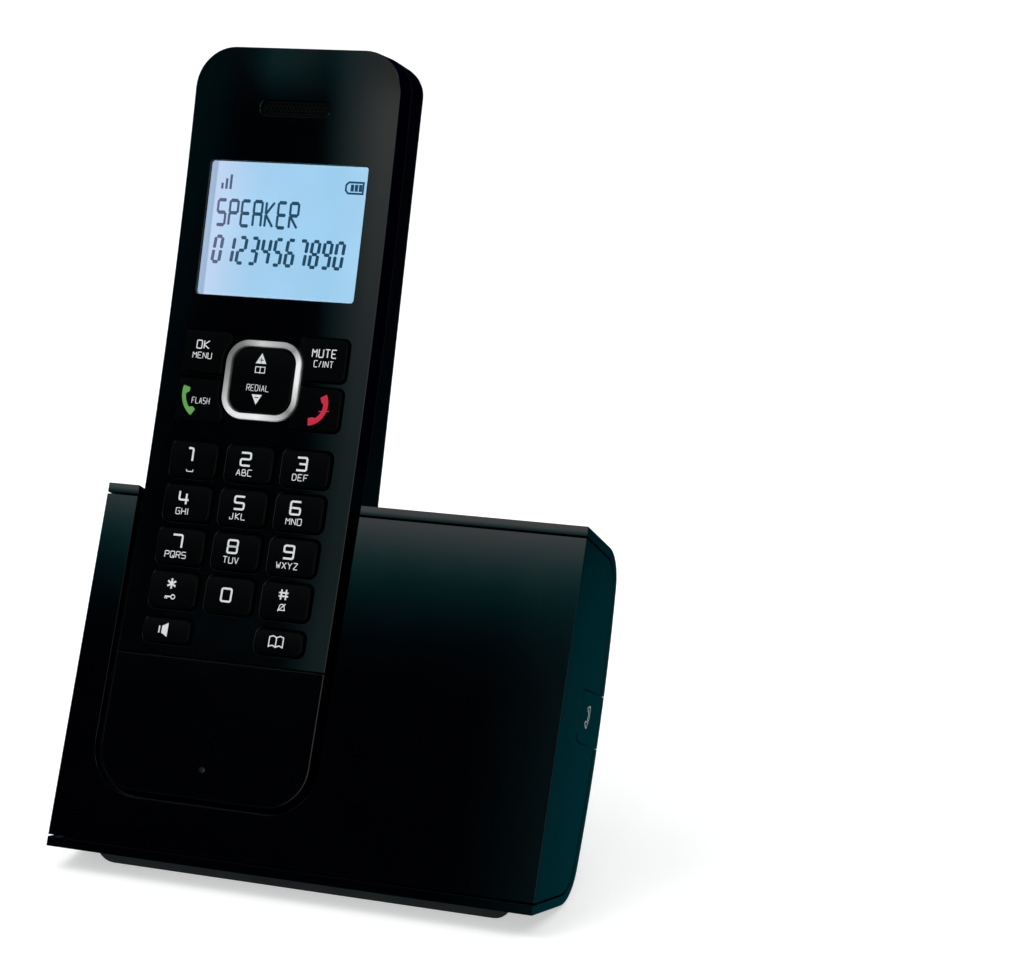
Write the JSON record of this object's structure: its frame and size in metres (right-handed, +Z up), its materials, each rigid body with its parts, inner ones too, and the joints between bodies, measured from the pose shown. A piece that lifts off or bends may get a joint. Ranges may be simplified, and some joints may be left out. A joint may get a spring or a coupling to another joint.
{
  "type": "cordless phone with base",
  "caption": "Cordless handset with display and keypad standing in a leaning charging base; handset lifts out, keys press, rear cover slides off.",
  "frame": {"origin": "on the desk, at the middle of the whole phone's footprint box", "axes": "+Z up, +X to the right as seen from the front, -Y towards the user; the base leans back towards +Y"},
  "size_m": [0.11, 0.075, 0.169],
  "materials": {
    "gloss_black": "piano-black gloss",
    "panel_black": "high gloss, faint blue-green depth",
    "satin_black": "fine satin texture",
    "key_black": "semi-gloss",
    "soft_rubber": "matt",
    "chrome_ring": "satin chrome plating",
    "window_clear": "clear acrylic",
    "lcd_blue": "back-lit",
    "silicone_mat": "matt silicone",
    "board_green": "solder mask",
    "steel": "bright",
    "gold_contact": "plated",
    "socket_black": "matt",
    "cell_label": "plastic sleeve"
  },
  "bodies": {
    "base": {"base_front_housing": "panel_black", "base_rear_cover": "panel_black", "cradle_cup": "satin_black", "front_foot": "soft_rubber", "rear_stand": "satin_black", "rear_feet": "soft_rubber", "page_switch": "steel", "base_circuit_board": "board_green", "radio_shield": "steel", "antennas": "gold_contact", "cradle_contacts": "gold_contact", "power_jack": "socket_black", "line_socket": "socket_black", "socket_board": "board_green", "base_screws": "steel"},
    "handset": {"handset_front_housing": "gloss_black", "handset_end_cap": "gloss_black", "display_window": "window_clear", "lcd_module": "lcd_blue", "navigation_ring": "chrome_ring", "keypad_mat": "silicone_mat", "handset_circuit_board": "board_green", "earpiece_grille": "socket_black", "earpiece_speaker": "steel", "loudspeaker": "steel", "microphone": "steel", "battery_tray": "socket_black", "battery_cells": "cell_label", "battery_springs": "steel", "handset_contacts": "gold_contact", "handset_screws": "steel"},
    "back_cover": {"handset_back_cover": "satin_black"},
    "page_button": {"page_button": "panel_black"},
    "navigation_key": {"navigation_key": "key_black"},
    "ok_key": {"ok_key": "key_black"},
    "mute_key": {"mute_key": "key_black"},
    "talk_key": {"talk_key": "key_black"},
    "hang_up_key": {"hang_up_key": "key_black"},
    "key_1": {"key_1": "key_black"},
    "key_2": {"key_2": "key_black"},
    "key_3": {"key_3": "key_black"},
    "key_4": {"key_4": "key_black"},
    "key_5": {"key_5": "key_black"},
    "key_6": {"key_6": "key_black"},
    "key_7": {"key_7": "key_black"},
    "key_8": {"key_8": "key_black"},
    "key_9": {"key_9": "key_black"},
    "key_star": {"key_star": "key_black"},
    "key_0": {"key_0": "key_black"},
    "key_hash": {"key_hash": "key_black"},
    "speaker_key": {"speaker_key": "key_black"},
    "phonebook_key": {"phonebook_key": "key_black"}
  },
  "joints": [
    {"name": "handset_lift", "type": "slide", "parent": "base", "child": "handset", "axis": [0, 0.4067, 0.9135], "range_m": [0, 0.09]},
    {"name": "back_cover_slide", "type": "slide", "parent": "handset", "child": "back_cover", "axis": [0, 0.4067, 0.9135], "range_m": [0, 0.003]},
    {"name": "page_button_press", "type": "slide", "parent": "base", "child": "page_button", "axis": [-1, 0, 0], "range_m": [0, 0.0005], "stiffness_N_per_m": 600, "springref_m": -0.0008},
    {"name": "navigation_rock", "type": "hinge", "parent": "handset", "child": "navigation_key", "pos_m": [-0.0215, 0.00501, 0.09945], "axis": [1, 0, 0], "range_deg": [-2.2, 2.2], "stiffness_Nm_per_rad": 0.3},
    {"name": "ok_key_press", "type": "slide", "parent": "handset", "child": "ok_key", "axis": [0, 0.9385, -0.3452], "range_m": [0, 0.0005], "stiffness_N_per_m": 500, "springref_m": -0.0008},
    {"name": "mute_key_press", "type": "slide", "parent": "handset", "child": "mute_key", "axis": [0, 0.9385, -0.3452], "range_m": [0, 0.0005], "stiffness_N_per_m": 500, "springref_m": -0.0008},
    {"name": "talk_key_press", "type": "slide", "parent": "handset", "child": "talk_key", "axis": [0, 0.9385, -0.3452], "range_m": [0, 0.0005], "stiffness_N_per_m": 500, "springref_m": -0.0008},
    {"name": "hang_up_key_press", "type": "slide", "parent": "handset", "child": "hang_up_key", "axis": [0, 0.9385, -0.3452], "range_m": [0, 0.0005], "stiffness_N_per_m": 500, "springref_m": -0.0008},
    {"name": "key_1_press", "type": "slide", "parent": "handset", "child": "key_1", "axis": [0, 0.9305, -0.3663], "range_m": [0, 0.0005], "stiffness_N_per_m": 500, "springref_m": -0.0008},
    {"name": "key_2_press", "type": "slide", "parent": "handset", "child": "key_2", "axis": [0, 0.9305, -0.3663], "range_m": [0, 0.0005], "stiffness_N_per_m": 500, "springref_m": -0.0008},
    {"name": "key_3_press", "type": "slide", "parent": "handset", "child": "key_3", "axis": [0, 0.9305, -0.3663], "range_m": [0, 0.0005], "stiffness_N_per_m": 500, "springref_m": -0.0008},
    {"name": "key_4_press", "type": "slide", "parent": "handset", "child": "key_4", "axis": [0, 0.9261, -0.3772], "range_m": [0, 0.0005], "stiffness_N_per_m": 500, "springref_m": -0.0008},
    {"name": "key_5_press", "type": "slide", "parent": "handset", "child": "key_5", "axis": [0, 0.9261, -0.3772], "range_m": [0, 0.0005], "stiffness_N_per_m": 500, "springref_m": -0.0008},
    {"name": "key_6_press", "type": "slide", "parent": "handset", "child": "key_6", "axis": [0, 0.9261, -0.3772], "range_m": [0, 0.0005], "stiffness_N_per_m": 500, "springref_m": -0.0008},
    {"name": "key_7_press", "type": "slide", "parent": "handset", "child": "key_7", "axis": [0, 0.9216, -0.388], "range_m": [0, 0.0005], "stiffness_N_per_m": 500, "springref_m": -0.0008},
    {"name": "key_8_press", "type": "slide", "parent": "handset", "child": "key_8", "axis": [0, 0.9216, -0.388], "range_m": [0, 0.0005], "stiffness_N_per_m": 500, "springref_m": -0.0008},
    {"name": "key_9_press", "type": "slide", "parent": "handset", "child": "key_9", "axis": [0, 0.9216, -0.388], "range_m": [0, 0.0005], "stiffness_N_per_m": 500, "springref_m": -0.0008},
    {"name": "key_star_press", "type": "slide", "parent": "handset", "child": "key_star", "axis": [0, 0.917, -0.3988], "range_m": [0, 0.0005], "stiffness_N_per_m": 500, "springref_m": -0.0008},
    {"name": "key_0_press", "type": "slide", "parent": "handset", "child": "key_0", "axis": [0, 0.917, -0.3988], "range_m": [0, 0.0005], "stiffness_N_per_m": 500, "springref_m": -0.0008},
    {"name": "key_hash_press", "type": "slide", "parent": "handset", "child": "key_hash", "axis": [0, 0.917, -0.3988], "range_m": [0, 0.0005], "stiffness_N_per_m": 500, "springref_m": -0.0008},
    {"name": "speaker_key_press", "type": "slide", "parent": "handset", "child": "speaker_key", "axis": [0, 0.9135, -0.4067], "range_m": [0, 0.0005], "stiffness_N_per_m": 500, "springref_m": -0.0008},
    {"name": "phonebook_key_press", "type": "slide", "parent": "handset", "child": "phonebook_key", "axis": [0, 0.9135, -0.4067], "range_m": [0, 0.0005], "stiffness_N_per_m": 500, "springref_m": -0.0008}
  ]
}
